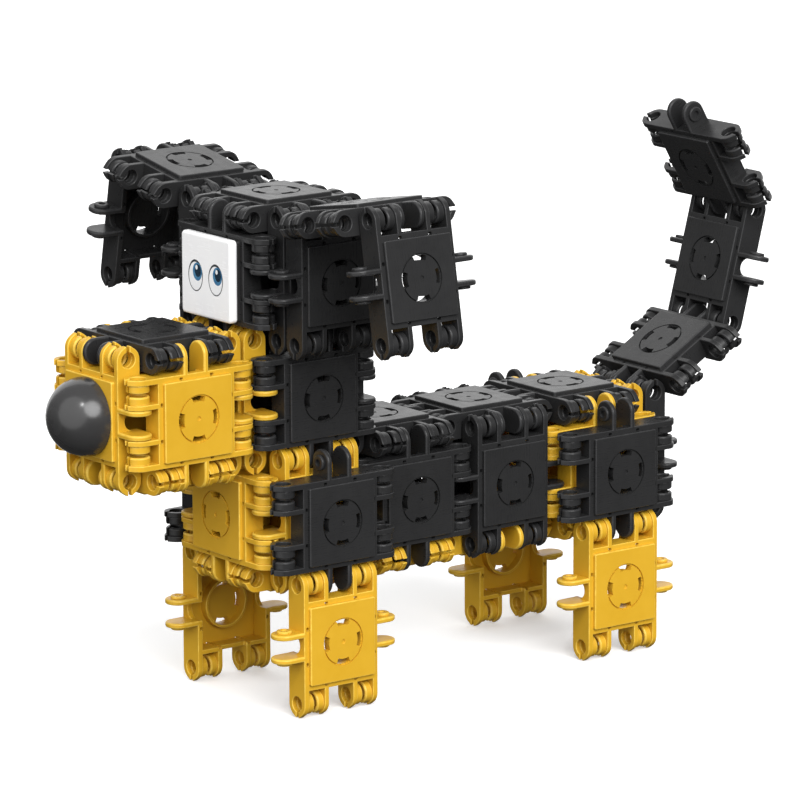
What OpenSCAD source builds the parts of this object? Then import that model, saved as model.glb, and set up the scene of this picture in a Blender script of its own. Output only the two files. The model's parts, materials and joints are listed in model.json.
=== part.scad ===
// Dog built from click-together hinge bricks.
// +Z is up and the dog faces -Y; the origin is on the ground under its middle.

/* [Brick] */
// Distance between the hinge axes of two opposite edges
pitch = 40; // [38:1:44]
// Distance from a hinge axis to the wall beside it
edge_gap = 5; // [4.9:0.1:5.4]
// Thickness of the square plate and of the walls under the barrels
wall = 1.5; // [1.3:0.1:1.6]
// Thickness of the walls that end in the outer cheeks
side_wall = 1.9; // [1.6:0.1:2.1]
// Width of the raised square pad
pad_w = 26.4; // [26.4:0.1:28]
// Height of the pad above the plate
pad_h = 1.2; // [1:0.1:1.4]
// Outer radius of the ring on the back of the plate
ring_r = 8.6; // [8.6:0.1:10.2]
// Height of the ring on the back of the plate
ring_h = 3; // [2:0.5:5]

/* [Hinge] */
// Radius of the cheeks and tongues, half the thickness of a brick
knuckle_r = 4.4; // [4.2:0.1:4.5]
// Radius of the barrels between the cheeks
barrel_r = 3.8; // [3.4:0.1:4]
// Radius of the bore through cheeks and barrels
bore_r = 2.6; // [2.4:0.1:2.8]
// Radial play of a stud in its bore
stud_play = 0.05; // [0.03:0.01:0.1]
// Width of the gap between the two barrel groups of an edge
mouth_w = 10; // [9.6:0.1:10.4]
// Thickness of an inner cheek
cheek_t = 1.7; // [1.4:0.1:2]
// Play between a tongue and the inner cheek beside it
tongue_play = 0.1; // [0.05:0.05:0.2]
// Thickness of a tongue
tongue_t = 1.8; // [1.5:0.1:2]
// Length of the stud on a tongue
stud_l = 1; // [0.6:0.1:1.4]
// Width of the slit that opens a barrel group to the outside
slit_w = 1.6; // [1:0.1:2]
// Half angle of the beak that the cheeks form at the slit, in degrees
beak_angle = 35; // [10:1:36]
// Width of the groove round the middle of a barrel
groove_w = 1; // [0.6:0.1:1.2]

/* [Face] */
// Radius of the nose
nose_r = 13; // [10:0.5:13.5]
// Length of the short straight foot under the dome of the nose
nose_foot = 1.1; // [0.2:0.1:3]
// Width of the tile that carries the eyes
tile_w = 27.5; // [26:0.1:29]
// Thickness of the tile
tile_t = 3.1; // [2:0.1:5]
// Corner radius of the tile
tile_corner = 1.5; // [0.5:0.1:3]
// Length of the tabs that hold nose and tile in the pad
tab_l = 2.2; // [1:0.1:2.4]

/* [Pose] */
// How far the ears are lifted from level, in degrees
ear_lift = 10; // [0:1:60]
// Slope of the first tail brick above level, in degrees
tail_rise = 30; // [0:1:60]
// Bend between one tail brick and the next, in degrees
tail_curl = 45; // [0:1:50]

/* [Hidden] */
$fn = 64;
half = pitch / 2;                      // from a brick's centre to its hinge axes
body = half - edge_gap;                // from a brick's centre to its walls
stack = knuckle_r + pad_h + knuckle_r; // from one brick to the next one on its pad
pad_top = knuckle_r + pad_h;
cheek_in = mouth_w / 2;                // from the middle of an edge to an inner cheek
barrel_in = cheek_in + cheek_t;        // from the middle of an edge to a barrel
barrel_out = body - side_wall;
barrel_mid = (barrel_in + barrel_out) / 2;
tongue_out = cheek_in - tongue_play;   // from the middle of an edge to a tongue's far side
tongue_in = tongue_out - tongue_t;
slot_in = 5.8;                         // inner radius of the four arc slots
slot_w = 1.7;
slot_turn = 32;                        // how far round each arc slot reaches, in degrees
circle_r = 8;                          // outer radius of the circle cut in the pad
circle_d = 0.4;
dimple_r = 0.8;
web = 0.4;                             // what is left of a barrel under its groove
// Reach of a cheek's two lips beyond the hinge axis, beside the slit
lip = (knuckle_r - slit_w / 2 * sin(beak_angle)) / cos(beak_angle);
eps = 0.01;

BLACK = "dimgray";
YELLOW = "gold";
WHITE = "white";

// Ways a pad can face; LEFT and RIGHT are the dog's own
UP = [0, 0, 0];
DOWN = [180, 0, 0];
LEFT = [0, 90, 0];
RIGHT = [0, -90, 0];
FRONT = [90, 0, 0];
BACK = [-90, 0, 0];

// Heights and lengths of the rows of bricks, from the middle of the chest
ground = pitch + half + lip;                // depth of the feet below the chest
neck_z = pitch;
head_z = 2 * pitch;
snout_y = -half - stack - half;
rump_y = 3 * pitch + half;
tail_y = rump_y + stack;
ear_x = half + stack;

nose_tip = snout_y - half - pad_top - nose_foot - nose_r;
tail_a = [for (k = [0:2]) tail_rise + k * tail_curl];
tail_axes = [for (k = [0:3]) tail_axis(k)];
tail_end = max([for (p = tail_axes) p[0]]) + knuckle_r;
middle = (nose_tip + tail_end) / 2;

// Hinge axis k of the tail, as [y, z]; axis 0 is on the tail's base
function tail_axis(k) = k == 0 ? [tail_y, half]
    : tail_axis(k - 1) + pitch * [cos(tail_a[k - 1]), sin(tail_a[k - 1])];

// ---- The hinge brick: pad up, barrels at the +X and -X edges, tongues at +Y and -Y ----

// A bar with a round end: from the wall at x = body to the hinge axis, y from a to b
module knuckle(a, b) {
    translate([body - wall, a, -knuckle_r])
        cube([half - body + wall, b - a, 2 * knuckle_r]);
    translate([half, a, 0]) rotate([-90, 0, 0]) cylinder(r = knuckle_r, h = b - a);
}

// A round bar along Y on the hinge axis, y from a to b
module axle(r, a, b) {
    translate([half, a, 0]) rotate([-90, 0, 0]) cylinder(r = r, h = b - a);
}

// A knuckle whose round end runs out to a beak
module cheek(a, b) {
    c = knuckle_r * cos(beak_angle);
    s = knuckle_r * sin(beak_angle);
    knuckle(a, b);
    translate([half, b, 0]) rotate([90, 0, 0]) linear_extrude(b - a)
        polygon([[0, 0], [c, -s], [knuckle_r / cos(beak_angle), 0], [c, s]]);
}

// One group of the barrel edge: two cheeks with a grooved barrel between them
module barrel_group() {
    cheek(cheek_in, barrel_in);
    cheek(barrel_out, body);
    difference() {
        axle(barrel_r, barrel_in - eps, barrel_out + eps);
        difference() {
            axle(barrel_r + 1, barrel_mid - groove_w / 2, barrel_mid + groove_w / 2);
            axle(bore_r + web, barrel_mid - groove_w, barrel_mid + groove_w);
        }
    }
}

module barrel_edge() {
    difference() {
        union() {
            barrel_group();
            mirror([0, 1, 0]) barrel_group();
        }
        axle(bore_r, -body - 1, body + 1);
        translate([half + 1, -body - 1, -slit_w / 2]) cube([pitch, 2 * body + 2, slit_w]);
    }
}

// One tongue with its stud, on the +X edge
module tongue() {
    difference() {
        union() {
            knuckle(tongue_in, tongue_out);
            axle(bore_r - stud_play, tongue_out - eps, tongue_out + stud_l);
        }
        axle(dimple_r, tongue_out + stud_l - circle_d, tongue_out + stud_l + 1);
    }
}

module tongue_edge() {
    tongue();
    mirror([0, 1, 0]) tongue();
}

// The notch with a round bottom in the wall between two tongues
module tongue_notch() {
    depth = tongue_in - knuckle_r / 2 + 0.5;
    translate([body - side_wall - 1, -tongue_in, -knuckle_r - 1])
        cube([side_wall + 2, 2 * tongue_in, knuckle_r + 1 - depth]);
    translate([body - side_wall - 1, 0, -depth])
        rotate([0, 90, 0]) cylinder(r = tongue_in, h = side_wall + 2);
}

// The square plate with its four walls, open at the back
module shell() {
    difference() {
        translate([-body, -body, -knuckle_r]) cube([2 * body, 2 * body, 2 * knuckle_r]);
        translate([wall - body, side_wall - body, -knuckle_r - 1])
            cube([2 * (body - wall), 2 * (body - side_wall), 2 * knuckle_r + 1 - wall]);
        for (a = [90, 270]) rotate([0, 0, a]) tongue_notch();
        translate([-body - 1, -tongue_out, -knuckle_r - 1])
            cube([2 * body + 2, 2 * tongue_out, 1 + wall]);
    }
}

module back_ring() {
    translate([0, 0, knuckle_r - wall - ring_h]) difference() {
        cylinder(r = ring_r, h = ring_h + eps);
        translate([0, 0, -1]) cylinder(r = ring_r - 1, h = ring_h + 2);
    }
}

// Four arcs round the centre, each w wide and t degrees long; h is along Z
module arcs(r, w, t, h) {
    for (a = [0:90:270]) rotate([0, 0, a - t / 2])
        rotate_extrude(angle = t) translate([r, 0]) square([w, h]);
}

module pad_cuts() {
    translate([0, 0, knuckle_r - wall - 1])
        arcs(slot_in, slot_w, slot_turn, wall + pad_h + 2);
    translate([0, 0, pad_top - circle_d]) difference() {
        cylinder(r = circle_r, h = 1);
        translate([0, 0, -1]) cylinder(r = circle_r - circle_d, h = 3);
    }
    translate([0, 0, pad_top - circle_d]) cylinder(r = dimple_r, h = 1);
}

module brick() {
    difference() {
        union() {
            shell();
            translate([-pad_w / 2, -pad_w / 2, knuckle_r - eps])
                cube([pad_w, pad_w, pad_h + eps]);
            back_ring();
            for (a = [0, 180]) rotate([0, 0, a]) barrel_edge();
            for (a = [90, 270]) rotate([0, 0, a]) tongue_edge();
        }
        pad_cuts();
    }
}

// ---- Placing ----

// Moves from the middle of the chest to the model's own origin
module on_ground() {
    translate([0, -middle, ground]) children();
}

// A brick with its centre at p and its pad facing a way; turn 90 swaps barrels and tongues
module brick_at(p, facing, turn = 0) {
    on_ground() translate(p) rotate(facing) rotate([0, 0, turn]) brick();
}

// Puts a part of the left side on the side named by s: 1 is left, -1 is right
module on_side(s) {
    if (s > 0) children();
    else mirror([1, 0, 0]) children();
}

module side_brick(s, row, turn) {
    on_side(s) brick_at([half, row * pitch, 0], LEFT, turn);
}

module back_brick(row, turn) {
    brick_at([0, row * pitch, half], UP, turn);
}

module belly_brick(row, turn) {
    brick_at([0, row * pitch, -half], DOWN, turn);
}

// A shoulder or hip: a brick stacked on a side brick, whose tongues carry a leg
module stacked_side(s, row) {
    on_side(s) brick_at([half + stack, row * pitch, 0], LEFT, 90);
}

module leg(s, row) {
    on_side(s) brick_at([half + stack, row * pitch, -pitch], LEFT, 0);
}

module snout_side(s) {
    on_side(s) brick_at([half, snout_y, neck_z], LEFT, 90);
}

module neck_side(s) {
    on_side(s) brick_at([half, 0, neck_z], LEFT, 90);
}

module head_side(s) {
    on_side(s) brick_at([half, 0, head_z], LEFT, 0);
}

module ear_base(s) {
    on_side(s) brick_at([ear_x, 0, head_z], LEFT, 0);
}

// Lifts the ear about its hinge at the top of the ear base
module lifted(s) {
    on_side(s) on_ground() translate([ear_x, 0, head_z + half])
        rotate([0, -ear_lift, 0]) children();
}

module ear_upper(s) {
    lifted(s) translate([half, 0, 0]) rotate([0, 0, 90]) brick();
}

module ear_lower(s) {
    lifted(s) translate([pitch, 0, -half]) rotate(LEFT) brick();
}

// Tail brick k from 1 to 3, hinged on tail axis k - 1
module tail_brick(k, turn) {
    axis = tail_axes[k - 1];
    on_ground() translate([0, axis[0], axis[1]]) rotate([tail_a[k - 1], 0, 0])
        translate([0, half, 0]) rotate([0, 0, turn]) brick();
}

// Tabs that push into the arc slots of a pad, pointing down from the pad's face
module tabs() {
    play = 0.1;
    t = slot_turn - 4;
    translate([0, 0, -tab_l]) arcs(slot_in + play, slot_w - 2 * play, t, tab_l + 0.5);
}

// ---- Snout ----
module snout_front() color(YELLOW) brick_at([0, snout_y - half, neck_z], FRONT, 90);
module snout_left() color(YELLOW) snout_side(1);
module snout_right() color(YELLOW) snout_side(-1);
module snout_top() color(BLACK) brick_at([0, snout_y, neck_z + half], UP, 0);
module snout_bottom() color(YELLOW) brick_at([0, snout_y, neck_z - half], DOWN, 0);
module snout_back() color(YELLOW) brick_at([0, snout_y + half, neck_z], FRONT, 90);

module nose() {
    color(BLACK) on_ground() translate([0, snout_y - half - pad_top, neck_z])
        rotate(FRONT) {
            translate([0, 0, nose_foot]) difference() {
                sphere(r = nose_r, $fn = 96);
                translate([0, 0, -nose_r - eps]) cube(2 * nose_r, center = true);
            }
            cylinder(r = nose_r, h = nose_foot, $fn = 96);
            tabs();
        }
}

// ---- Neck ----
module neck_front() color(YELLOW) brick_at([0, -half, neck_z], FRONT, 90);
module neck_left() color(BLACK) neck_side(1);
module neck_right() color(BLACK) neck_side(-1);
module neck_back() color(BLACK) brick_at([0, half, neck_z], BACK, 90);

// ---- Head ----
module head_front() color(BLACK) brick_at([0, -half, head_z], FRONT, 0);
module head_left() color(BLACK) head_side(1);
module head_right() color(BLACK) head_side(-1);
module head_top() color(BLACK) brick_at([0, 0, head_z + half], UP, 90);
module head_back() color(BLACK) brick_at([0, half, head_z], BACK, 0);

module face_tile() {
    straight = tile_w - 2 * tile_corner;
    color(WHITE) on_ground() translate([0, -half - pad_top, head_z]) rotate(FRONT) {
        linear_extrude(tile_t) union() {
            square([tile_w, straight], center = true);
            square([straight, tile_w], center = true);
            for (x = [-1, 1], y = [-1, 1])
                translate([x, y] * straight / 2) circle(r = tile_corner);
        }
        tabs();
    }
}

// ---- Ears ----
module ear_base_left() color(BLACK) ear_base(1);
module ear_base_right() color(BLACK) ear_base(-1);
module ear_upper_left() color(BLACK) ear_upper(1);
module ear_upper_right() color(BLACK) ear_upper(-1);
module ear_lower_left() color(BLACK) ear_lower(1);
module ear_lower_right() color(BLACK) ear_lower(-1);

// ---- Trunk ----
module chest_front() color(YELLOW) brick_at([0, -half, 0], FRONT, 0);
module side_left_1() color(YELLOW) side_brick(1, 0, 0);
module side_left_2() color(BLACK) side_brick(1, 1, 90);
module side_left_3() color(BLACK) side_brick(1, 2, 0);
module side_left_4() color(YELLOW) side_brick(1, 3, 90);
module side_right_1() color(YELLOW) side_brick(-1, 0, 0);
module side_right_2() color(BLACK) side_brick(-1, 1, 90);
module side_right_3() color(BLACK) side_brick(-1, 2, 0);
module side_right_4() color(YELLOW) side_brick(-1, 3, 90);
module back_2() color(BLACK) back_brick(1, 0);
module back_3() color(BLACK) back_brick(2, 90);
module back_4() color(BLACK) back_brick(3, 0);
module belly_1() color(YELLOW) belly_brick(0, 90);
module belly_2() color(YELLOW) belly_brick(1, 0);
module belly_3() color(YELLOW) belly_brick(2, 90);
module belly_4() color(YELLOW) belly_brick(3, 0);
module rump() color(YELLOW) brick_at([0, rump_y, 0], BACK, 90);

// ---- Legs ----
module shoulder_left() color(BLACK) stacked_side(1, 0);
module shoulder_right() color(BLACK) stacked_side(-1, 0);
module hip_left() color(BLACK) stacked_side(1, 3);
module hip_right() color(BLACK) stacked_side(-1, 3);
module leg_front_left() color(YELLOW) leg(1, 0);
module leg_front_right() color(YELLOW) leg(-1, 0);
module leg_rear_left() color(YELLOW) leg(1, 3);
module leg_rear_right() color(YELLOW) leg(-1, 3);

// ---- Tail ----
module tail_base() color(BLACK) brick_at([0, tail_y, 0], BACK, 90);
module tail_1() color(BLACK) tail_brick(1, 0);
module tail_2() color(BLACK) tail_brick(2, 90);
module tail_3() color(BLACK) tail_brick(3, 0);

snout_front();
snout_left();
snout_right();
snout_top();
snout_bottom();
snout_back();
nose();
neck_front();
neck_left();
neck_right();
neck_back();
head_front();
head_left();
head_right();
head_top();
head_back();
face_tile();
ear_base_left();
ear_base_right();
ear_upper_left();
ear_upper_right();
ear_lower_left();
ear_lower_right();
chest_front();
side_left_1();
side_left_2();
side_left_3();
side_left_4();
side_right_1();
side_right_2();
side_right_3();
side_right_4();
back_2();
back_3();
back_4();
belly_1();
belly_2();
belly_3();
belly_4();
rump();
shoulder_left();
shoulder_right();
hip_left();
hip_right();
leg_front_left();
leg_front_right();
leg_rear_left();
leg_rear_right();
tail_base();
tail_1();
tail_2();
tail_3();
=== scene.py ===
"""Looks of the construction toy dog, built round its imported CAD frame.

Every brick of the dog is the same moulding, so one finely detailed brick is modelled here in millimetres,
once for each plastic colour, and put wherever the frame has a brick. Nose and face tile are modelled too.
"""

import json
import math
from itertools import product

import bmesh
import bpy
from mathutils import Matrix, Vector
from mathutils.geometry import delaunay_2d_cdt, tessellate_polygon


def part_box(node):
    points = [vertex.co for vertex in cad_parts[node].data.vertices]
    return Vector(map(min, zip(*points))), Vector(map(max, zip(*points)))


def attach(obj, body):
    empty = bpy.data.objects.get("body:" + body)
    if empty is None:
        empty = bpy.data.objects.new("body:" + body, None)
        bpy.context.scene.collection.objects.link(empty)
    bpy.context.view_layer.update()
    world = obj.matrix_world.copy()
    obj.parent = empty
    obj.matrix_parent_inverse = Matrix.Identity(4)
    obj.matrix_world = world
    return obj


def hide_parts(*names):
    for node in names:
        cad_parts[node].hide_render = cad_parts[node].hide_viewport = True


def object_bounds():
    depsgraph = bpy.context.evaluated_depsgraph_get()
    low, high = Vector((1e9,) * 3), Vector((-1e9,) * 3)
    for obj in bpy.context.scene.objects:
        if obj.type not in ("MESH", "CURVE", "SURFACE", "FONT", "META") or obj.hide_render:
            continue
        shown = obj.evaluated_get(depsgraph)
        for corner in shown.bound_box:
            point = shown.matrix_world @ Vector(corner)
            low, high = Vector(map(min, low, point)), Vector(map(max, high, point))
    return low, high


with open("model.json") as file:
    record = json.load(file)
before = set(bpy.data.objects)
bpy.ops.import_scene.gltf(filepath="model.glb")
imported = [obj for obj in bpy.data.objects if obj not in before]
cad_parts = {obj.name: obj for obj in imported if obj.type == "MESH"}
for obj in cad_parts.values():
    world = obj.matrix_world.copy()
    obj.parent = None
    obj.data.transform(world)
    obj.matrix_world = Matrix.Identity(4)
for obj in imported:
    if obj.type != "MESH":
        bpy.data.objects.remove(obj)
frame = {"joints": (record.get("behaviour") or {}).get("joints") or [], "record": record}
cad_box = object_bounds()

MM = 0.001

# ---- The brick, in millimetres: pad up, barrels at +-X, tongues at +-Y ----
HALF = 20.0              # from the centre to a hinge axis
BODY = 15.0              # from the centre to a wall's outside
TOP = 4.4                # height of the plate above the middle, and radius of cheeks and tongues
END_WALL = 1.5
SIDE_WALL = 1.9
PAD = 26.4
PAD_TOP = 5.6
PAD_CORNER = 0.6
BARREL_R = 3.8
BORE_R = 2.6
SLIT = 1.2               # opening of a barrel group to the outside
SHOULDER = 2.29          # from a hinge axis to where the lips beside the slit set off
LIP = 4.81               # reach of the lips beyond the hinge axis
LIP_ROUND = 0.27
INNER_CHEEK = (5.0, 6.7)
BARRELS = ((6.5, 9.35), (10.45, 13.3))
TONGUE = (3.1, 4.9)
STUD = (4.8, 5.9)
STUD_R = 2.55
STUD_DIMPLE = (1.25, 0.8)  # radius and depth of the hollow in a stud's end
PAD_DIMPLE = (0.8, 0.4)    # radius and depth of the one in the middle of the pad
SLOT = (5.8, 7.5)        # inner and outer radius of the arc slots
SLOT_TURN = 42           # degrees that an arc slot reaches round
CIRCLE = (7.5, 8.05)     # inner and outer radius of the circle cut in the pad
CIRCLE_DEPTH = 0.6
RING = (7.6, 8.6)        # inner and outer radius of the ring on the back
RING_BACK = -0.1         # how far down the ring reaches
POCKET = (5.3, 6.7)      # where the small core holes lie along each border
POCKET_SPAN = (13.25, 14.2)
POCKET_ROUND = 0.3
NOTCH_R = 3.1            # round notch between two tongues
NOTCH_ROOF = 1.7         # height of its straight corners above the middle
FOOT_NOTCH = 1.5         # height of the wide notch at the foot of an end wall
NOTCH_ROUND = 0.4        # at the corners of both

# How strongly each part's rims are rounded; always less than the corners of its outline
WALL_ROUND = 0.25
PAD_ROUND = 0.35
TONGUE_ROUND = 0.6
STUD_ROUND = 0.4
BARREL_ROUND = 0.6

BITE = 1.0               # how far one solid runs into the next, or a cutter out of the brick
PAD_BITE = 0.8           # the same for the pad in the plate, less than the plate's thickness
SKIN = 0.01              # what keeps two faces of a brick apart
FULL_ROUND = 0.001       # what two corner arcs that make a half circle leave between them

ARC_STEP = math.radians(7.5)
SMALL_ARC = 1.0          # arcs up to this radius take the coarser step
SMALL_STEP = math.radians(22.5)
BAND_STEPS = 8           # steps along an arc slot or a tab
RIM_STEPS = 3
SAME_POINT = 0.03
QUARTERS = range(0, 360, 90)
SHARP = math.radians(10)  # more than the step of an arc, less than the step of a rim
RIM_WIDTH = 0.32          # faces narrower than this, and not square to the axes, belong to a rim
SQUARE_ON = math.cos(math.radians(5))


# ---- Outlines: closed lists of points, anticlockwise round material and clockwise round holes ----

def ring_points(radius, centre=(0.0, 0.0), stretch=1.0, clockwise=False):
    """Points of a circle, or of an ellipse that is stretch times as tall as it is wide."""
    count = round(2 * math.pi / ARC_STEP)
    turns = range(count, 0, -1) if clockwise else range(count)
    return [
        (
            centre[0] + radius * math.cos(i * ARC_STEP),
            centre[1] + stretch * radius * math.sin(i * ARC_STEP),
        )
        for i in turns
    ]


def rounded(corners):
    """An outline through corners (x, y, radius), where a radius above 0 makes the corner an arc."""
    points = []
    for i, (x, y, radius) in enumerate(corners):
        here = Vector((x, y))
        if radius == 0:
            points.append((x, y))
            continue
        back = (Vector(corners[i - 1][:2]) - here).normalized()
        ahead = (Vector(corners[(i + 1) % len(corners)][:2]) - here).normalized()
        half = back.angle(ahead) / 2
        centre = here + (back + ahead).normalized() * (radius / math.sin(half))
        first = here + back * (radius / math.tan(half)) - centre
        last = here + ahead * (radius / math.tan(half)) - centre
        start = math.atan2(first.y, first.x)
        sweep = (math.atan2(last.y, last.x) - start + math.pi) % (2 * math.pi) - math.pi
        steps = max(2, math.ceil(abs(sweep) / (ARC_STEP if radius > SMALL_ARC else SMALL_STEP)))
        for k in range(steps + 1):
            a = start + sweep * k / steps
            points.append((centre.x + radius * math.cos(a), centre.y + radius * math.sin(a)))
    return [p for i, p in enumerate(points) if math.dist(p, points[i - 1]) > SAME_POINT]


def rectangle(x0, x1, y0, y1, corner=0.0):
    return rounded([(x0, y0, corner), (x1, y0, corner), (x1, y1, corner), (x0, y1, corner)])


def square(half, corner=0.0):
    return rectangle(-half, half, -half, half, corner)


def arc_band(inner, outer, degrees, turn=0.0):
    """The outline of a piece of a ring, centred on the direction turn."""
    half = math.radians(degrees) / 2
    middle = math.radians(turn)
    angles = [middle - half + 2 * half * k / BAND_STEPS for k in range(BAND_STEPS + 1)]
    out = [(outer * math.cos(a), outer * math.sin(a)) for a in angles]
    return out + [(inner * math.cos(a), inner * math.sin(a)) for a in reversed(angles)]


def bore_points():
    """Corners round a bore from below its slit, the long way and clockwise, to above it."""
    edge = math.asin(SLIT / 2 / BORE_R)
    sweep = 2 * math.pi - 2 * edge
    steps = round(sweep / ARC_STEP)
    angles = [-edge - sweep * k / steps for k in range(steps + 1)]
    return [(HALF + BORE_R * math.cos(a), BORE_R * math.sin(a), 0) for a in angles]


def cheek_end():
    """Corners of a cheek's round end, from its lower edge round to its upper edge."""
    return [
        (HALF + SHOULDER, -TOP, TOP),
        (HALF + LIP, -SLIT / 2, LIP_ROUND),
        *bore_points(),
        (HALF + LIP, SLIT / 2, LIP_ROUND),
        (HALF + SHOULDER, TOP, TOP),
    ]


def side_profile():
    """A side wall with an outer cheek at each end and the notch between its tongues."""
    right = cheek_end()
    left = [(-x, y, r) for x, y, r in reversed(right)]
    notch = [
        (-NOTCH_R, -TOP, NOTCH_ROUND),
        (-NOTCH_R, NOTCH_ROOF, NOTCH_R - FULL_ROUND),
        (NOTCH_R, NOTCH_ROOF, NOTCH_R - FULL_ROUND),
        (NOTCH_R, -TOP, NOTCH_ROUND),
    ]
    return rounded(notch + right + left)


def inner_cheek_profile():
    root = BODY - END_WALL + 0.1
    return rounded([(root, -TOP + SKIN, 0), *cheek_end(), (root, TOP - SKIN, 0)])


def tongue_profile():
    root = BODY - 1.2
    tip = HALF + TOP
    bend = TOP - FULL_ROUND
    return rounded([(root, -TOP, 0), (tip, -TOP, bend), (tip, TOP, bend), (root, TOP, 0)])


def end_wall_profile():
    """The wall under the barrels, with its wide shallow notch at the foot."""
    side, gap, roof = BODY - 0.5, INNER_CHEEK[0] - 0.1, FOOT_NOTCH - TOP
    left = [(-side, -TOP, 0), (-gap, -TOP, NOTCH_ROUND), (-gap, roof, NOTCH_ROUND)]
    right = [(-x, y, r) for x, y, r in reversed(left)]
    return rounded([*left, *right, (side, TOP, 0), (-side, TOP, 0)])


# ---- Solids ----

def inset(loop, distance):
    """The loop moved into the material, which lies on its left, by distance."""
    if distance == 0:
        return list(loop)
    moved = []
    for i, (x, y) in enumerate(loop):
        x0, y0 = loop[i - 1]
        x1, y1 = loop[(i + 1) % len(loop)]
        a = Vector((y0 - y, x - x0)).normalized()
        b = Vector((y - y1, x1 - x)).normalized()
        shift = (a + b) * (distance / (1 + a.dot(b)))
        moved.append((x + shift.x, y + shift.y))
    return moved


def prism(outline, low, high, rim=0.0, holes=()):
    """Points and faces of an outline raised from low to high, with its rims rounded by rim."""
    loops = [outline, *holes]
    turns = [math.pi / 2 * k / RIM_STEPS for k in range(RIM_STEPS + 1)] if rim else [math.pi / 2]
    levels = [(rim * (1 - math.sin(t)), low + rim * (1 - math.cos(t))) for t in turns]
    levels += [(d, low + high - z) for d, z in reversed(levels)]
    points, faces = [], []
    count = sum(len(loop) for loop in loops)
    for distance, z in levels:
        points += [(x, y, z) for loop in loops for x, y in inset(loop, distance)]
    for level in range(len(levels) - 1):
        start = level * count
        for loop in loops:
            n = len(loop)
            for i in range(n):
                a, b = start + i, start + (i + 1) % n
                faces.append((a, b, b + count, a + count))
            start += n
    flat = [[Vector(p) for p in inset(loop, levels[0][0])] for loop in loops]
    joined = [p for loop in flat for p in loop]
    last = (len(levels) - 1) * count
    for a, b, c in tessellate_polygon(flat):
        if (joined[b] - joined[a]).cross(joined[c] - joined[a]) < 0:
            b, c = c, b
        faces.append((c, b, a))
        faces.append((a + last, b + last, c + last))
    return points, faces


def lathe(profile, count=48):
    """Points and faces of a closed outline of (radius, height), anticlockwise, turned round Z."""
    rings, points, faces = [], [], []
    for r, z in profile:
        turns = [2 * math.pi * k / count for k in range(count)] if r > 0 else [0.0]
        rings.append([len(points) + k for k in range(len(turns))] * (1 if r > 0 else count))
        points += [(r * math.cos(a), r * math.sin(a), z) for a in turns]
    for i, ring in enumerate(rings):
        following = rings[(i + 1) % len(rings)]
        for k in range(count):
            n = (k + 1) % count
            corners = dict.fromkeys((ring[k], ring[n], following[n], following[k]))
            if len(corners) > 2:
                faces.append(tuple(corners))
    return points, faces


# What a solid's own (x, y, height) become in the brick: lying, standing along X, standing along Y
LYING = Matrix.Identity(4)
ALONG_X = Matrix(((1, 0, 0, 0), (0, 0, 1, 0), (0, 1, 0, 0), (0, 0, 0, 1)))
ALONG_Y = Matrix(((0, 0, 1, 0), (1, 0, 0, 0), (0, 1, 0, 0), (0, 0, 0, 1)))


def solid(shape, place=LYING, mirror=(1, 1)):
    """A closed mesh object of a shape, placed and mirrored across X or Y."""
    matrix = Matrix.Diagonal((*mirror, 1, 1)) @ place
    points, faces = shape
    if matrix.determinant() < 0:
        faces = [tuple(reversed(f)) for f in faces]
    mesh = bpy.data.meshes.new("solid")
    mesh.from_pydata([matrix @ Vector(p) for p in points], [], faces)
    made = bpy.data.objects.new("solid", mesh)
    bpy.context.scene.collection.objects.link(made)
    return made


def combine(base, joined, cut):
    """One clean mesh of base with the other solids joined on, then the cutters taken away."""
    for others, operation in ((joined, "UNION"), (cut, "DIFFERENCE")):
        for other in others:
            step = base.modifiers.new("step", "BOOLEAN")
            step.operation = operation
            step.solver = "MANIFOLD"
            step.object = other
    made = bpy.data.meshes.new_from_object(base.evaluated_get(bpy.context.evaluated_depsgraph_get()))
    made.materials.clear()
    for scrap in [base, *joined, *cut]:
        bpy.data.meshes.remove(scrap.data)
    return made


def brick_solids():
    """The solids that are joined onto the plate, each with its rims rounded."""
    ring_hole = ring_points(RING[0], clockwise=True)
    ring = prism(ring_points(RING[1]), RING_BACK, TOP - BITE, WALL_ROUND, [ring_hole])
    pad = prism(square(PAD / 2, PAD_CORNER), TOP - PAD_BITE, PAD_TOP, PAD_ROUND)
    joined = [solid(ring), solid(pad)]
    side = prism(side_profile(), BODY - SIDE_WALL, BODY, WALL_ROUND)
    end = prism(end_wall_profile(), BODY - END_WALL, BODY, WALL_ROUND)
    inner = prism(inner_cheek_profile(), *INNER_CHEEK, WALL_ROUND)
    barrels = [lathe(rectangle(BORE_R, BARREL_R, *span, BARREL_ROUND - SKIN)) for span in BARRELS]
    tongue = prism(tongue_profile(), *TONGUE, TONGUE_ROUND)
    stud = prism(ring_points(STUD_R, (HALF, 0)), *STUD, STUD_ROUND)
    on_hinge = Matrix.Translation((HALF, 0, 0)) @ ALONG_X
    for s in (1, -1):
        joined.append(solid(side, ALONG_X, (1, s)))
        joined.append(solid(end, ALONG_Y, (s, 1)))
    for mirror in product((1, -1), repeat=2):
        joined.append(solid(inner, ALONG_X, mirror))
        joined += [solid(barrel, on_hinge, mirror) for barrel in barrels]
        joined += [solid(shape, ALONG_Y, mirror) for shape in (tongue, stud)]
    return joined


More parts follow.
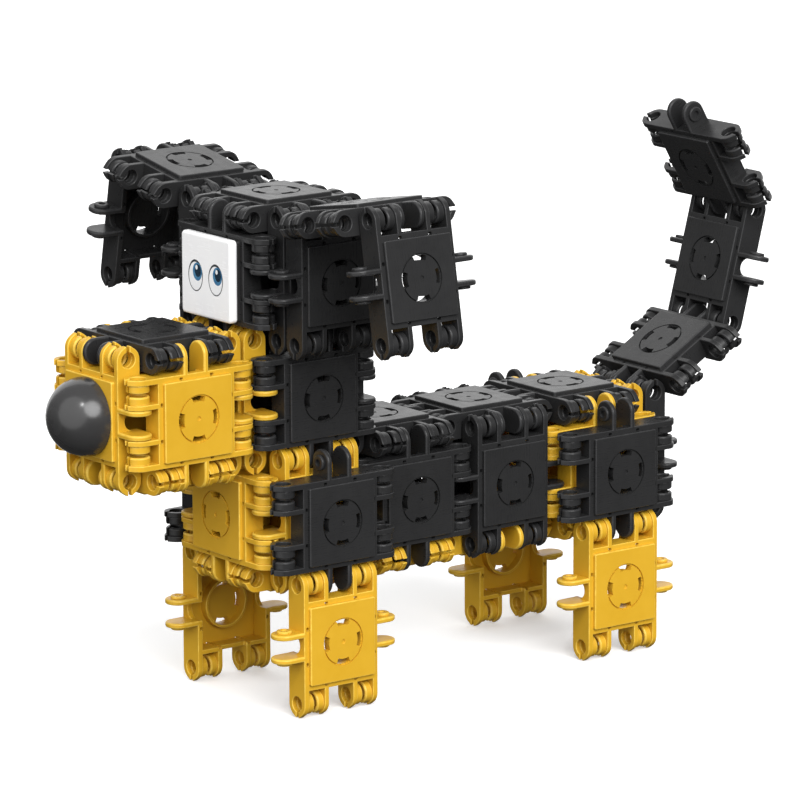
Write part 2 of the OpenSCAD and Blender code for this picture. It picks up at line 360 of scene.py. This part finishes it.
def brick_cutters():
    """The solids cut out of a brick: slots, circle and hollow of the pad, core holes, slits, stud hollows."""
    above = PAD_TOP + BITE
    slots = [prism(arc_band(*SLOT, SLOT_TURN, turn), 0, above) for turn in QUARTERS]
    circle_core = ring_points(CIRCLE[0], clockwise=True)
    circle = prism(ring_points(CIRCLE[1]), PAD_TOP - CIRCLE_DEPTH, above, 0.0, [circle_core])
    hollow = prism(ring_points(PAD_DIMPLE[0]), PAD_TOP - PAD_DIMPLE[1], above)
    cut = [solid(shape) for shape in (*slots, circle, hollow)]
    for turn, side in product(QUARTERS, (1, -1)):
        hole = rectangle(*POCKET_SPAN, *sorted(side * edge for edge in POCKET), POCKET_ROUND)
        quarter = Matrix.Rotation(math.radians(turn), 4, "Z")
        cut.append(solid(prism(hole, -TOP - BITE, TOP + 0.4), quarter))
    reach = (HALF + 1, HALF + LIP + BITE, BARRELS[0][0], BARRELS[1][1])
    slit = prism(rectangle(*reach), -SLIT / 2, SLIT / 2)
    dimple = prism(ring_points(STUD_DIMPLE[0], (HALF, 0)), STUD[1] - STUD_DIMPLE[1], STUD[1] + BITE)
    for mirror in product((1, -1), repeat=2):
        cut.append(solid(slit, LYING, mirror))
        cut.append(solid(dimple, ALONG_Y, mirror))
    return cut


def mark_rims(mesh):
    """Marks the narrow slanting faces of the rims, which the materials paint paler: partly wear, partly a
    painted edge highlight.
    """
    marks = mesh.attributes.new("rim", "FLOAT", "FACE")
    for face, mark in zip(mesh.polygons, marks.data):
        corners = [mesh.vertices[i].co for i in face.vertices]
        longest = max((a - b).length for a, b in zip(corners, corners[1:] + corners[:1]))
        width = face.area / longest * (2 if len(corners) == 3 else 1)
        mark.value = float(width < RIM_WIDTH and max(abs(c) for c in face.normal) < SQUARE_ON)


def finished(mesh, name, material_list):
    """The mesh in metres, with round faces shaded smooth and every other edge sharp."""
    work = bmesh.new()
    work.from_mesh(mesh)
    bmesh.ops.remove_doubles(work, verts=work.verts, dist=0.004)
    bmesh.ops.dissolve_degenerate(work, edges=work.edges, dist=0.004)
    work.to_mesh(mesh)
    work.free()
    mesh.name = name
    mark_rims(mesh)
    mesh.transform(Matrix.Scale(MM, 4))
    mesh.shade_smooth()
    mesh.set_sharp_from_angle(angle=SHARP)
    for material in material_list:
        mesh.materials.append(material)
    return mesh


def brick_mesh():
    """The plate with everything joined on and cut out."""
    plate = solid(prism(square(BODY - BITE), TOP - END_WALL, TOP))
    return combine(plate, brick_solids(), brick_cutters())


# ---- Materials ----

class Shader:
    """A small helper that adds nodes to one material and joins them up."""

    def __init__(self, name, color, roughness):
        self.material = bpy.data.materials.new(name)
        self.material.use_nodes = True
        self.tree = self.material.node_tree
        self.surface = self.tree.nodes["Principled BSDF"]
        self.surface.inputs["Base Color"].default_value = (*color, 1)
        self.surface.inputs["Roughness"].default_value = roughness
        self.place = self.add("ShaderNodeTexCoord").outputs["Object"]

    def add(self, kind, values=(), links=(), **settings):
        node = self.tree.nodes.new(kind)
        for key, value in settings.items():
            setattr(node, key, value)
        for key, value in dict(values).items():
            node.inputs[key].default_value = value
        for key, source in dict(links).items():
            self.tree.links.new(source, node.inputs[key])
        return node

    def noise(self, size, detail=2.0, stretch=(1, 1, 1)):
        """Noise with features of about size millimetres, drawn out along the axes that stretch names."""
        scaled = self.add(
            "ShaderNodeMapping", {"Scale": [1 / (size * MM * s) for s in stretch]}, {"Vector": self.place}
        )
        return self.add(
            "ShaderNodeTexNoise", {"Scale": 1.0, "Detail": detail}, {"Vector": scaled.outputs[0]}
        ).outputs["Fac"]

    def spread(self, factor, low, high, floor=0.3, ceiling=0.7):
        """A factor's middle range stretched to run from low to high."""
        return self.add(
            "ShaderNodeMapRange",
            {"From Min": floor, "From Max": ceiling, "To Min": low, "To Max": high},
            {"Value": factor},
        ).outputs[0]

    def mixed(self, factor, low, high):
        """A colour between two colours; either may be a socket."""
        node = self.add("ShaderNodeMix", data_type="RGBA")
        self.tree.links.new(factor, node.inputs["Factor"])
        for socket, value in ((node.inputs["A"], low), (node.inputs["B"], high)):
            if isinstance(value, tuple):
                socket.default_value = (*value, 1)
            else:
                self.tree.links.new(value, socket)
        return node.outputs["Result"]

    def drive(self, name, source):
        self.tree.links.new(source, self.surface.inputs[name])

    def bump(self, heights):
        """Bumps from (height source, depth in millimetres), one on the other."""
        normal = None
        for source, depth in heights:
            links = {"Height": source}
            if normal is not None:
                links["Normal"] = normal
            normal = self.add(
                "ShaderNodeBump", {"Strength": 1.0, "Distance": depth * MM}, links
            ).outputs["Normal"]
        self.drive("Normal", normal)


def plastic(name, color, cloudy, rim_highlight_and_wear, roughness, grain_depth, **sockets):
    """Moulded plastic: cloudy colour, rims painted paler (partly wear, partly a painted edge highlight),
    handling marks in the gloss and a fine grain.
    """
    shader = Shader(name, color, roughness[0])
    clouds = shader.spread(shader.noise(9.0, 3.0), 0.0, 1.0)
    body = shader.mixed(clouds, color, cloudy)
    rims = shader.add("ShaderNodeAttribute", attribute_name="rim").outputs["Fac"]
    patchy = shader.spread(shader.noise(2.0, 3.0), 0.15, 0.6)
    rim_highlight_and_rubbing = shader.add("ShaderNodeMath", links={0: rims, 1: patchy}, operation="MULTIPLY").outputs[0]
    # Painted edge highlight: the rims take a paler colour, partly wear and partly a painted highlight along
    # the edges
    shader.drive("Base Color", shader.mixed(rim_highlight_and_rubbing, body, rim_highlight_and_wear))
    smears = shader.noise(3.0, 4.0, (1, 2.5, 1))
    scratches = shader.noise(0.35, 2.0, (14, 1, 6))
    marks = shader.add(
        "ShaderNodeMath", links={0: smears, 1: scratches}, operation="MULTIPLY"
    ).outputs[0]
    shader.drive("Roughness", shader.spread(marks, *roughness, 0.15, 0.4))
    shader.bump([(shader.noise(0.22, 2.0), grain_depth), (shader.noise(6.0, 1.0), 0.02)])
    for key, value in sockets.items():
        shader.surface.inputs[key.replace("_", " ")].default_value = value
    return shader.material


def printed(name, low, high, size=1.2):
    """Printing ink: two near colours that mottle each other, on a glossy face."""
    shader = Shader(name, low, 0.2)
    shader.drive("Base Color", shader.mixed(shader.spread(shader.noise(size, 3.0), 0.0, 1.0), low, high))
    shader.drive("Roughness", shader.spread(shader.noise(0.6, 2.0), 0.16, 0.26))
    shader.bump([(shader.noise(0.3, 2.0), 0.002)])
    return shader.material


# The fourth colour of each plastic is its paler rim colour: partly wear, partly a painted edge highlight
YELLOW = plastic(
    "yellow_plastic", (0.63, 0.355, 0.020), (0.67, 0.385, 0.026), (0.88, 0.64, 0.12), (0.30, 0.42), 0.004,
    Specular_IOR_Level=0.35,
)
BLACK = plastic(
    "black_plastic", (0.020, 0.020, 0.0205), (0.024, 0.024, 0.0245), (0.05, 0.05, 0.052), (0.26, 0.38), 0.004,
    Specular_IOR_Level=0.28,
)
NOSE = plastic(
    "nose_plastic", (0.033, 0.0325, 0.033), (0.037, 0.0365, 0.037), (0.045, 0.045, 0.045),
    (0.20, 0.27), 0.002,
    Coat_Weight=0.15, Coat_Roughness=0.12,
)
TILE = plastic(
    "tile_plastic", (0.93, 0.93, 0.94), (0.96, 0.96, 0.96), (0.98, 0.98, 0.98), (0.20, 0.30), 0.002,
)


# ---- Placing ----

AXES = {
    "+X": Vector((1, 0, 0)), "-X": Vector((-1, 0, 0)), "+Y": Vector((0, 1, 0)),
    "-Y": Vector((0, -1, 0)), "+Z": Vector((0, 0, 1)), "-Z": Vector((0, 0, -1)),
}
RISE = (PAD_TOP - TOP) / 2  # from a brick's centre to the middle of its box, towards its pad

body_of = {
    node: body for body, nodes in frame["record"]["behaviour"]["bodies"].items() for node in nodes
}
hinge_at = {j["name"]: Vector(j["pos_m"]) for j in frame["joints"]}


def middle(node):
    low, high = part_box(node)
    return (low + high) / 2


def attitude(barrels, pad):
    """The rotation that turns a brick so its barrels and its pad point these ways."""
    across = pad.cross(barrels)
    return Matrix((barrels, across, pad)).transposed().to_4x4()


def set_piece(name, mesh, matrix, node):
    piece = bpy.data.objects.new(name, mesh)
    bpy.context.scene.collection.objects.link(piece)
    piece.matrix_world = matrix
    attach(piece, body_of[node])
    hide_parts(node)
    return piece


def set_brick(node, colour, barrels, pad, centre):
    matrix = Matrix.Translation(centre) @ attitude(barrels, pad)
    set_piece(f"{node}_brick", BRICK[colour], matrix, node)


def straight_brick(node, colour, pad, barrels):
    """A brick that lies square to the axes, put in the middle of its CAD node's box."""
    normal = AXES[pad]
    set_brick(node, colour, AXES[barrels], normal, middle(node) - normal * RISE * MM)


def hinged_brick(node, colour, hinge, along, pad, barrels):
    """A brick that hangs on a joint's axis: along points from the hinge to its centre."""
    set_brick(node, colour, barrels, pad, hinge_at[hinge] + along * HALF * MM)


# Where each square brick's pad faces and which way its barrels lie; {} is the side, o the way out
SQUARE = (
    ("snout_front", "yellow", "-Y", "+Z"), ("snout_{}", "yellow", "o", "+Y"),
    ("snout_top", "black", "+Z", "+X"), ("snout_bottom", "yellow", "-Z", "+X"),
    ("snout_back", "yellow", "-Y", "+Z"), ("neck_front", "yellow", "-Y", "+Z"),
    ("neck_{}", "black", "o", "+Y"), ("neck_back", "black", "+Y", "+Z"),
    ("head_front", "black", "-Y", "+X"), ("head_{}", "black", "o", "+Z"),
    ("head_top", "black", "+Z", "+Y"), ("head_back", "black", "+Y", "+X"),
    ("ear_base_{}", "black", "o", "+Z"), ("chest_front", "yellow", "-Y", "+X"),
    ("side_{}_1", "yellow", "o", "+Z"), ("side_{}_2", "black", "o", "+Y"),
    ("side_{}_3", "black", "o", "+Z"), ("side_{}_4", "yellow", "o", "+Y"),
    ("back_2", "black", "+Z", "+X"), ("back_3", "black", "+Z", "+Y"),
    ("back_4", "black", "+Z", "+X"), ("belly_1", "yellow", "-Z", "+Y"),
    ("belly_2", "yellow", "-Z", "+X"), ("belly_3", "yellow", "-Z", "+Y"),
    ("belly_4", "yellow", "-Z", "+X"), ("rump", "yellow", "+Y", "+Z"),
    ("shoulder_{}", "black", "o", "+Y"), ("hip_{}", "black", "o", "+Y"),
    ("leg_front_{}", "yellow", "o", "+Z"), ("leg_rear_{}", "yellow", "o", "+Z"),
    ("tail_base", "black", "+Y", "+Z"),
)
SIDES = (("left", "+X"), ("right", "-X"))


def set_square_bricks():
    for name, colour, pad, barrels in SQUARE:
        if "{}" in name:
            for side, out in SIDES:
                straight_brick(name.format(side), colour, out, barrels)
        else:
            straight_brick(name, colour, pad, barrels)


def set_ears():
    """Each ear's upper brick points from its hinge to the next; the lower one hangs square to it."""
    for side, _ in SIDES:
        upper, lower = f"ear_upper_{side}_hinge", f"ear_lower_{side}_hinge"
        out = (hinge_at[lower] - hinge_at[upper]).normalized()
        down = Vector((out.z * (-1 if out.x < 0 else 1), 0, -abs(out.x)))
        hinged_brick(f"ear_upper_{side}", "black", upper, out, -down, AXES["+Y"])
        hinged_brick(f"ear_lower_{side}", "black", lower, down, out, down)


def set_tail():
    """Each tail brick points along the chain; every bend is the same."""
    hinges = [f"tail_{k}_hinge" for k in (1, 2, 3)]
    first = (hinge_at[hinges[1]] - hinge_at[hinges[0]]).normalized()
    second = (hinge_at[hinges[2]] - hinge_at[hinges[1]]).normalized()
    bend = Matrix.Rotation(first.angle(second), 3, "X")
    across = AXES["+X"]
    for k, (along, barrels) in enumerate(((first, across), (second, second), (bend @ second, across))):
        hinged_brick(f"tail_{k + 1}", "black", hinges[k], along, across.cross(along), barrels)


# ---- Nose ----
NOSE_R = 13.0
NOSE_FOOT = 1.1     # length of the short straight part under the dome
FOOT_ROUND = 0.35   # rounding where that meets the flat back
TAB_DEPTH = 2.2
TAB = (5.9, 7.4)
TAB_TURN = 28
TAB_BITE = 0.5      # how far a tab runs into its nose or tile
TAB_ROUND = 0.15
DOME_STEPS = 26


def dome():
    """A hemisphere on a short straight foot."""
    profile = [(0, 0), (NOSE_R - FOOT_ROUND, 0)]
    for k in range(1, RIM_STEPS + 1):
        a = math.pi / 2 * k / RIM_STEPS
        profile.append((NOSE_R - FOOT_ROUND * (1 - math.sin(a)), FOOT_ROUND * (1 - math.cos(a))))
    for k in range(DOME_STEPS):
        a = math.pi / 2 * k / DOME_STEPS
        profile.append((NOSE_R * math.cos(a), NOSE_FOOT + NOSE_R * math.sin(a)))
    return lathe([*profile, (0, NOSE_FOOT + NOSE_R)], 96)


def tabs():
    """Four tabs that push into the arc slots of a pad, pointing down."""
    shapes = [prism(arc_band(*TAB, TAB_TURN, turn), -TAB_DEPTH, TAB_BITE, TAB_ROUND) for turn in QUARTERS]
    return [solid(shape) for shape in shapes]


def nose_mesh():
    return finished(combine(solid(dome()), tabs(), []), "nose", [NOSE])


# ---- Face tile, drawn flat with X to the dog's left and Y up ----
TILE_W = 27.5
TILE_T = 3.1
TILE_CORNER = 1.5
TILE_ROUND = 0.9
EYE_X = 5.6
EYE_Y = -0.3
EYE_R = 4.05
EYE_TALL = 1.3
INKS = {
    "lid": ((0.035, 0.04, 0.045), (0.06, 0.065, 0.07)),
    "white": ((0.88, 0.89, 0.90), (0.93, 0.93, 0.94)),
    "iris": ((0.03, 0.13, 0.28), (0.09, 0.26, 0.42)),
    "pupil": ((0.006, 0.018, 0.035), (0.012, 0.035, 0.06)),
}
# Ovals of one eye, painted one on the other: ink, radius, height over width, place from the eye's centre
EYE = (
    ("lid", EYE_R, EYE_TALL, (0.0, 0.0)),
    ("white", 3.66, 1.28, (-0.02, -0.20)),
    ("iris", 2.55, 1.18, (1.0, 1.35)),
    ("pupil", 1.75, 1.22, (1.30, 1.75)),
    ("white", 0.62, 1.2, (0.55, 2.75)),
)


def face_print(boundary, height):
    """The tile's front as flat regions: the plain border and the ovals of both eyes."""
    loops = [boundary]
    shapes = []
    for side in (-1, 1):
        for ink, radius, tall, (x, y) in EYE:
            centre = (side * EYE_X + x, EYE_Y + y)
            shapes.append((ink, radius, tall, centre))
            loops.append(ring_points(radius, centre, tall))
    points = [Vector(p) for loop in loops for p in loop]
    edges = []
    for loop in loops:
        start = len(edges)
        edges += [(start + i, start + (i + 1) % len(loop)) for i in range(len(loop))]
    corners, _, faces, *_ = delaunay_2d_cdt(points, edges, [], 1, 1e-5)
    names = ["tile", *INKS]
    inks = [names.index(ink_at(sum((corners[i] for i in f), Vector((0, 0))) / 3, shapes)) for f in faces]
    return [(p.x, p.y, height) for p in corners], faces, inks


def ink_at(point, shapes):
    """Which ink lies on top at a point: inside an eye's lid, the last oval over it."""
    found = "tile"
    for ink, radius, tall, centre in shapes:
        dx, dy = point.x - centre[0], (point.y - centre[1]) / tall
        inside = dx * dx + dy * dy < radius * radius
        if ink == "lid":
            within = inside
            found = ink if inside else found
        elif inside and within:
            found = ink
    return found


def tile_mesh():
    outline = square(TILE_W / 2, TILE_CORNER)
    body = combine(solid(prism(outline, 0, TILE_T, TILE_ROUND)), tabs(), [])
    boundary = inset(outline, TILE_ROUND)
    points, faces, inks = face_print(boundary, TILE_T)
    work = bmesh.new()
    work.from_mesh(body)
    front = [f for f in work.faces if all(v.co.z > TILE_T - 1e-3 for v in f.verts)]
    bmesh.ops.delete(work, geom=front, context="FACES")
    corners = [work.verts.new(p) for p in points]
    for face, ink in zip(faces, inks):
        made = work.faces.new([corners[i] for i in face])
        made.material_index = ink
    bmesh.ops.remove_doubles(work, verts=work.verts, dist=0.01)
    bmesh.ops.recalc_face_normals(work, faces=work.faces)
    work.to_mesh(body)
    work.free()
    return finished(body, "face_tile", [TILE, *(printed(f"ink_{k}", *v) for k, v in INKS.items())])


# ---- The stage ----
CAMERA_AZIMUTH = math.radians(52.66)
CAMERA_ELEVATION = math.radians(12.27)
CAMERA_ROLL = math.radians(-0.18)
CAMERA_DISTANCE = 1.9775
CAMERA_LENS = 264.1
CAMERA_AIM = Vector((-5.6, 0.25, 0.3)) * MM  # from the middle of the dog

# Glow of the studio round the dog: how strong it is from below and from above
SKY = {"From Min": -0.25, "From Max": 0.45, "To Min": 0.07, "To Max": 0.40}
FLOOR_GLOW = 0.3
# Name, strength, width in degrees and direction of each lamp
SUNS = (
    ("key", 1.00, 45, (0.84, -0.15, 0.53)),
    ("glint", 0.14, 5, (0.48, -0.50, 0.72)),
    ("fill", 0.55, 90, (0.25, -0.90, 0.35)),
    ("back", 0.50, 90, (-0.70, 0.65, 0.30)),
)


def make_camera(centre):
    data = bpy.data.cameras.new("camera")
    data.lens = CAMERA_LENS
    data.sensor_width = 36
    camera = bpy.data.objects.new("camera", data)
    bpy.context.scene.collection.objects.link(camera)
    flat = math.cos(CAMERA_ELEVATION)
    back = Vector((
        math.sin(CAMERA_AZIMUTH) * flat, -math.cos(CAMERA_AZIMUTH) * flat, math.sin(CAMERA_ELEVATION)
    ))
    camera.location = centre + CAMERA_AIM + back * CAMERA_DISTANCE
    turn = (-back).to_track_quat("-Z", "Y").to_matrix() @ Matrix.Rotation(CAMERA_ROLL, 3, "Z")
    camera.rotation_euler = turn.to_euler()
    bpy.context.scene.camera = camera


def make_sun(name, strength, spread, toward):
    """Broad, even light from a direction, which reaches the floor and the dog alike."""
    data = bpy.data.lights.new(name, "SUN")
    data.energy = strength * math.pi
    data.angle = math.radians(spread)
    light = bpy.data.objects.new(name, data)
    bpy.context.scene.collection.objects.link(light)
    light.rotation_euler = Vector(toward).to_track_quat("Z", "Y").to_euler()


def make_stage():
    floor = bpy.data.meshes.new("floor")
    floor.from_pydata([(-6, -6, 0), (6, -6, 0), (6, 6, 0), (-6, 6, 0)], [], [(0, 1, 2, 3)])
    paint = Shader("floor_paint", (0.9, 0.9, 0.9), 0.9)
    paint.drive("Base Color", paint.mixed(paint.noise(400.0), (0.90, 0.90, 0.90), (0.92, 0.92, 0.92)))
    paint.surface.inputs["Emission Color"].default_value = (1, 1, 1, 1)
    paint.surface.inputs["Emission Strength"].default_value = FLOOR_GLOW
    floor.materials.append(paint.material)
    ground = bpy.data.objects.new("floor", floor)
    ground.visible_diffuse = False
    ground.visible_glossy = False
    bpy.context.scene.collection.objects.link(ground)
    world = bpy.data.worlds.new("studio")
    world.use_nodes = True
    add, join = world.node_tree.nodes.new, world.node_tree.links.new
    sky = world.node_tree.nodes["Background"]
    facing, height, glow = (add(f"ShaderNode{kind}") for kind in ("TexCoord", "SeparateXYZ", "MapRange"))
    for name, value in SKY.items():
        glow.inputs[name].default_value = value
    join(facing.outputs["Generated"], height.inputs[0])
    join(height.outputs["Z"], glow.inputs["Value"])
    join(glow.outputs[0], sky.inputs["Strength"])
    sky.inputs["Color"].default_value = (1, 1, 1, 1)
    bpy.context.scene.world = world
    bpy.context.scene.view_settings.view_transform = "Standard"
    for light in SUNS:
        make_sun(*light)


dog_centre = (cad_box[0] + cad_box[1]) / 2
make_camera(dog_centre)
make_stage()

shared_brick = brick_mesh()
BRICK = {
    "yellow": finished(shared_brick.copy(), "brick_yellow", [YELLOW]),
    "black": finished(shared_brick, "brick_black", [BLACK]),
}
set_square_bricks()
set_ears()
set_tail()

toward = AXES["-Y"]
upright = attitude(AXES["+X"], toward)
pad_of_snout = middle("snout_front") + toward * (PAD_TOP - RISE) * MM
pad_of_head = middle("head_front") + toward * (PAD_TOP - RISE) * MM
set_piece("nose_dome", nose_mesh(), Matrix.Translation(pad_of_snout) @ upright, "nose")
set_piece("eye_tile", tile_mesh(), Matrix.Translation(pad_of_head) @ upright, "face_tile")
